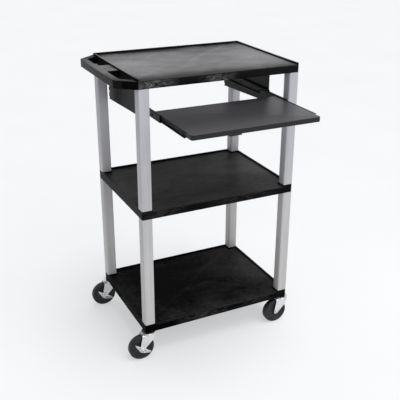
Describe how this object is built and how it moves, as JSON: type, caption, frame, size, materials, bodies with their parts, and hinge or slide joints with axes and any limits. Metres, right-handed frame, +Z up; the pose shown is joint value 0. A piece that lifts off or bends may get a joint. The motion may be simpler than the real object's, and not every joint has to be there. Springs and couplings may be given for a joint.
{
  "type": "audio visual cart",
  "caption": "Three-shelf plastic cart on square legs and swivel casters, with a moulded push handle and a keyboard tray that pulls out on slides",
  "frame": {"origin": "on the floor under the middle of the cart's whole footprint, with the tray pulled out", "axes": "+Z up, -X the push handle's side, -Y the front where the tray pulls out"},
  "size_m": [0.687, 0.7172, 1.063],
  "materials": {
    "shelf_plastic": "moulded black structural foam, satin with pale flow marks",
    "leg_plastic": "nickel-grey moulded tube, satin",
    "tray_board": "black laminated board, satin",
    "black_plastic": "black moulded plastic, satin",
    "black_steel": "black painted sheet steel, semi-gloss",
    "zinc_steel": "bright zinc plate",
    "bearing_steel": "oiled sintered steel",
    "wheel_rubber": "smooth black rubber"
  },
  "bodies": {
    "cart_frame": {"top_shelf": "shelf_plastic", "middle_shelf": "shelf_plastic", "bottom_shelf": "shelf_plastic", "upper_leg_front_left": "leg_plastic", "upper_leg_front_right": "leg_plastic", "upper_leg_rear_left": "leg_plastic", "upper_leg_rear_right": "leg_plastic", "lower_leg_front_left": "leg_plastic", "lower_leg_front_right": "leg_plastic", "lower_leg_rear_left": "leg_plastic", "lower_leg_rear_right": "leg_plastic", "left_tray_plate": "black_steel", "left_outer_slide": "black_steel", "right_tray_plate": "black_steel", "right_outer_slide": "black_steel", "plate_screw_front_left": "zinc_steel", "plate_screw_rear_left": "zinc_steel", "plate_screw_front_right": "zinc_steel", "plate_screw_rear_right": "zinc_steel", "outer_slide_screw_front_left": "zinc_steel", "outer_slide_screw_rear_left": "zinc_steel", "outer_slide_screw_front_right": "zinc_steel", "outer_slide_screw_rear_right": "zinc_steel", "caster_stem_front_left": "zinc_steel", "caster_stem_front_right": "zinc_steel", "caster_stem_rear_left": "zinc_steel", "caster_stem_rear_right": "zinc_steel"},
    "keyboard_tray": {"keyboard_tray": "tray_board", "tray_pull": "black_plastic", "left_inner_slide": "black_steel", "right_inner_slide": "black_steel", "inner_slide_screw_front_left": "zinc_steel", "inner_slide_screw_rear_left": "zinc_steel", "inner_slide_screw_front_right": "zinc_steel", "inner_slide_screw_rear_right": "zinc_steel"},
    "left_middle_slide": {"left_middle_slide": "black_steel"},
    "right_middle_slide": {"right_middle_slide": "black_steel"},
    "caster_front_left": {"caster_fork_front_left": "zinc_steel", "axle_bolt_front_left": "zinc_steel", "axle_nut_front_left": "zinc_steel", "wheel_sleeve_front_left": "bearing_steel"},
    "wheel_front_left": {"caster_wheel_front_left": "wheel_rubber"},
    "caster_front_right": {"caster_fork_front_right": "zinc_steel", "axle_bolt_front_right": "zinc_steel", "axle_nut_front_right": "zinc_steel", "wheel_sleeve_front_right": "bearing_steel"},
    "wheel_front_right": {"caster_wheel_front_right": "wheel_rubber"},
    "caster_rear_left": {"caster_fork_rear_left": "zinc_steel", "axle_bolt_rear_left": "zinc_steel", "axle_nut_rear_left": "zinc_steel", "wheel_sleeve_rear_left": "bearing_steel"},
    "wheel_rear_left": {"caster_wheel_rear_left": "wheel_rubber"},
    "caster_rear_right": {"caster_fork_rear_right": "zinc_steel", "axle_bolt_rear_right": "zinc_steel", "axle_nut_rear_right": "zinc_steel", "wheel_sleeve_rear_right": "bearing_steel"},
    "wheel_rear_right": {"caster_wheel_rear_right": "wheel_rubber"},
    "pedal_front_left": {"brake_pedal_front_left": "zinc_steel"},
    "pedal_rear_left": {"brake_pedal_rear_left": "zinc_steel"}
  },
  "joints": [
    {"name": "tray_travel", "type": "slide", "parent": "cart_frame", "child": "keyboard_tray", "axis": [0, 1, 0], "range_m": [0, 0.308]},
    {"name": "left_middle_slide_travel", "type": "slide", "parent": "cart_frame", "child": "left_middle_slide", "axis": [0, 1, 0], "range_m": [0, 0.154]},
    {"name": "right_middle_slide_travel", "type": "slide", "parent": "cart_frame", "child": "right_middle_slide", "axis": [0, 1, 0], "range_m": [0, 0.154]},
    {"name": "caster_swivel_front_left", "type": "hinge", "parent": "cart_frame", "child": "caster_front_left", "pos_m": [-0.26455, -0.09715, 0.104], "axis": [0, 0, 1], "continuous": true},
    {"name": "wheel_spin_front_left", "type": "hinge", "parent": "caster_front_left", "child": "wheel_front_left", "pos_m": [-0.29455, -0.09715, 0.049], "axis": [0, 1, 0], "continuous": true},
    {"name": "caster_swivel_front_right", "type": "hinge", "parent": "cart_frame", "child": "caster_front_right", "pos_m": [0.31705, -0.09715, 0.104], "axis": [0, 0, 1], "continuous": true},
    {"name": "wheel_spin_front_right", "type": "hinge", "parent": "caster_front_right", "child": "wheel_front_right", "pos_m": [0.28705, -0.09715, 0.049], "axis": [0, 1, 0], "continuous": true},
    {"name": "caster_swivel_rear_left", "type": "hinge", "parent": "cart_frame", "child": "caster_rear_left", "pos_m": [-0.26455, 0.33205, 0.104], "axis": [0, 0, 1], "continuous": true},
    {"name": "wheel_spin_rear_left", "type": "hinge", "parent": "caster_rear_left", "child": "wheel_rear_left", "pos_m": [-0.29455, 0.33205, 0.049], "axis": [0, 1, 0], "continuous": true},
    {"name": "caster_swivel_rear_right", "type": "hinge", "parent": "cart_frame", "child": "caster_rear_right", "pos_m": [0.31705, 0.33205, 0.104], "axis": [0, 0, 1], "continuous": true},
    {"name": "wheel_spin_rear_right", "type": "hinge", "parent": "caster_rear_right", "child": "wheel_rear_right", "pos_m": [0.28705, 0.33205, 0.049], "axis": [0, 1, 0], "continuous": true},
    {"name": "brake_pedal_rock_front_left", "type": "hinge", "parent": "caster_front_left", "child": "pedal_front_left", "pos_m": [-0.29455, -0.11645, 0.049], "axis": [0, 1, 0], "range_deg": [-45, 0]},
    {"name": "brake_pedal_rock_rear_left", "type": "hinge", "parent": "caster_rear_left", "child": "pedal_rear_left", "pos_m": [-0.29455, 0.31275, 0.049], "axis": [0, 1, 0], "range_deg": [-45, 0]}
  ],
  "couplings": [
    {"joint": "left_middle_slide_travel", "follows": "tray_travel", "ratio": 0.5},
    {"joint": "right_middle_slide_travel", "follows": "tray_travel", "ratio": 0.5}
  ]
}
